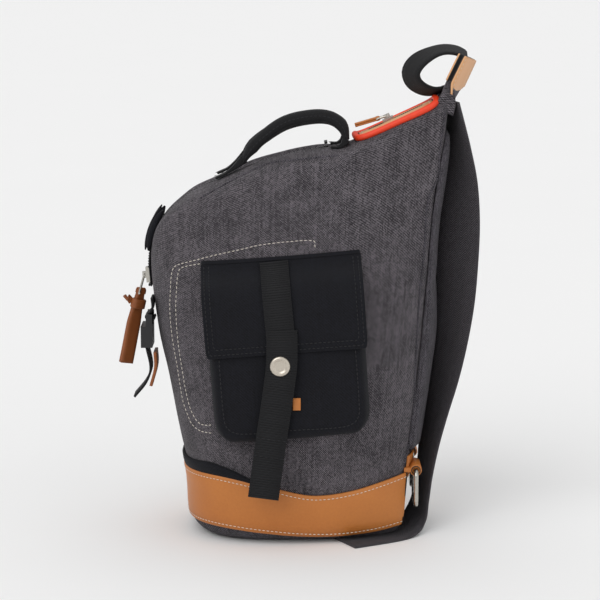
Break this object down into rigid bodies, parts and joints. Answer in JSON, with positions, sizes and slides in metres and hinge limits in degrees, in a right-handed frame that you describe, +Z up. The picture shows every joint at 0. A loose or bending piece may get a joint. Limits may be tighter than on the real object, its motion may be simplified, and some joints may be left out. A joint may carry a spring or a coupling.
{
  "type": "sling bag",
  "caption": "Soft melange canvas sling bag with a leather-banded base, flap pocket, zips, grab handles and a wide sling strap.",
  "frame": {"origin": "centre of the base's underside, on the floor", "axes": "+Z up, +X towards the wearer's back (peak and sling strap), -Y towards the flap pocket"},
  "size_m": [0.2899, 0.1662, 0.382],
  "materials": {
    "canvas_melange": "woven melange, matt",
    "lining": "plain weave nylon",
    "board": "extruded sheet",
    "leather_tan": "vegetable tanned, smooth",
    "leather_pale": "natural, smooth",
    "leather_brown": "oiled",
    "twill_black": "fine twill",
    "webbing_black": "ribbed webbing",
    "webbing_grey": "herringbone webbing",
    "piping_orange": "smooth bead",
    "zip_tape": "knitted tape",
    "zip_teeth": "moulded",
    "metal_steel": "plated",
    "metal_snap": "pressed, satin",
    "buckle_black": "moulded"
  },
  "bodies": {
    "bag": {"shell_gusset": "canvas_melange", "shell_back_low": "canvas_melange", "shell_side_near": "canvas_melange", "shell_side_far": "canvas_melange", "base_panel": "canvas_melange", "body_lining": "lining", "base_board": "board", "leather_band": "leather_tan", "band_trim": "twill_black", "back_panel": "canvas_melange", "main_zip_tape_near": "zip_tape", "main_zip_tape_far": "zip_tape", "main_zip_teeth": "zip_teeth", "main_zip_stop_front": "zip_teeth", "main_zip_stop_rear": "zip_teeth", "zip_lip_near": "twill_black", "zip_lip_far": "twill_black", "top_zip_frame": "leather_pale", "top_zip_piping": "piping_orange", "top_zip_tape_near": "zip_tape", "top_zip_tape_far": "zip_tape", "top_zip_teeth": "zip_teeth", "top_pocket_pouch": "lining", "handle_foot_front_near": "webbing_black", "handle_foot_front_far": "webbing_black", "handle_foot_rear_near": "webbing_black", "handle_foot_rear_far": "webbing_black", "peak_tongue": "webbing_black", "peak_patch_front": "leather_tan", "peak_patch_back": "leather_tan", "pocket_body": "twill_black", "snap_stud": "metal_snap", "pocket_leather_tab": "leather_tan", "flap_seam": "twill_black", "ring_tab_near": "leather_tan", "ring_tab_far": "leather_tan", "front_anchor": "webbing_black", "sling_strap": "webbing_grey"},
    "main_slider": {"main_zip_slider": "metal_steel"},
    "main_puller": {"main_pull_link": "metal_steel", "main_pull_leather": "leather_brown", "main_pull_knot": "leather_brown"},
    "top_slider": {"top_zip_slider": "metal_steel"},
    "top_puller": {"top_pull_link": "metal_steel", "top_pull_leather": "leather_tan"},
    "flap": {"pocket_flap": "twill_black", "flap_webbing": "webbing_black"},
    "flap_tongue": {"flap_tab": "webbing_black", "snap_cap": "metal_snap", "snap_socket": "metal_snap"},
    "near_handle": {"handle_near": "webbing_black"},
    "far_handle": {"handle_far": "webbing_black"},
    "loop": {"haul_loop": "webbing_black"},
    "near_ring": {"ring_near": "metal_steel"},
    "far_ring": {"ring_far": "metal_steel"},
    "front_clip": {"front_buckle": "buckle_black", "front_tail": "webbing_black", "front_keeper": "leather_brown"}
  },
  "joints": [
    {"name": "main_zip_slide", "type": "hinge", "parent": "bag", "child": "main_slider", "pos_m": [-0.0315, 0, 0.212], "axis": [0, 1, 0], "range_deg": [0, 28]},
    {"name": "main_pull_swing", "type": "hinge", "parent": "main_slider", "child": "main_puller", "pos_m": [-0.12426, 0, 0.2047], "axis": [0, 1, 0], "range_deg": [-12, 90]},
    {"name": "top_zip_slide", "type": "slide", "parent": "bag", "child": "top_slider", "axis": [0.9091, 0, 0.4167], "range_m": [-0.012, 0.008]},
    {"name": "top_pull_swing", "type": "hinge", "parent": "top_slider", "child": "top_puller", "pos_m": [0.06829, 0, 0.33132], "axis": [0, 1, 0], "range_deg": [0, 90]},
    {"name": "flap_hinge", "type": "hinge", "parent": "bag", "child": "flap", "pos_m": [-0.01498, -0.067, 0.22582], "axis": [-0.9973, 0, -0.0732], "range_deg": [0, 110]},
    {"name": "tongue_hinge", "type": "hinge", "parent": "flap", "child": "flap_tongue", "pos_m": [-0.014, -0.0877, 0.172], "axis": [-0.9942, 0, 0.108], "range_deg": [0, 80]},
    {"name": "near_handle_swing", "type": "hinge", "parent": "bag", "child": "near_handle", "pos_m": [-0.0425, -0.0175, 0.3009], "axis": [0.9877, 0, 0.1564], "range_deg": [-25, 30]},
    {"name": "far_handle_swing", "type": "hinge", "parent": "bag", "child": "far_handle", "pos_m": [-0.0425, 0.0175, 0.3009], "axis": [-0.9877, 0, -0.1564], "range_deg": [-50, 0]},
    {"name": "haul_loop_swing", "type": "hinge", "parent": "bag", "child": "loop", "pos_m": [0.118, 0, 0.367], "axis": [0, 1, 0], "range_deg": [-2, 22]},
    {"name": "near_ring_swing", "type": "hinge", "parent": "bag", "child": "near_ring", "pos_m": [0.09158, -0.032, 0.055], "axis": [0, -1, 0], "range_deg": [0, 8]},
    {"name": "far_ring_swing", "type": "hinge", "parent": "bag", "child": "far_ring", "pos_m": [0.09158, 0.032, 0.055], "axis": [0, -1, 0], "range_deg": [0, 55]},
    {"name": "front_clip_swing", "type": "hinge", "parent": "bag", "child": "front_clip", "pos_m": [-0.11849, -0.024, 0.176], "axis": [0, 1, 0], "range_deg": [-3, 60]}
  ]
}
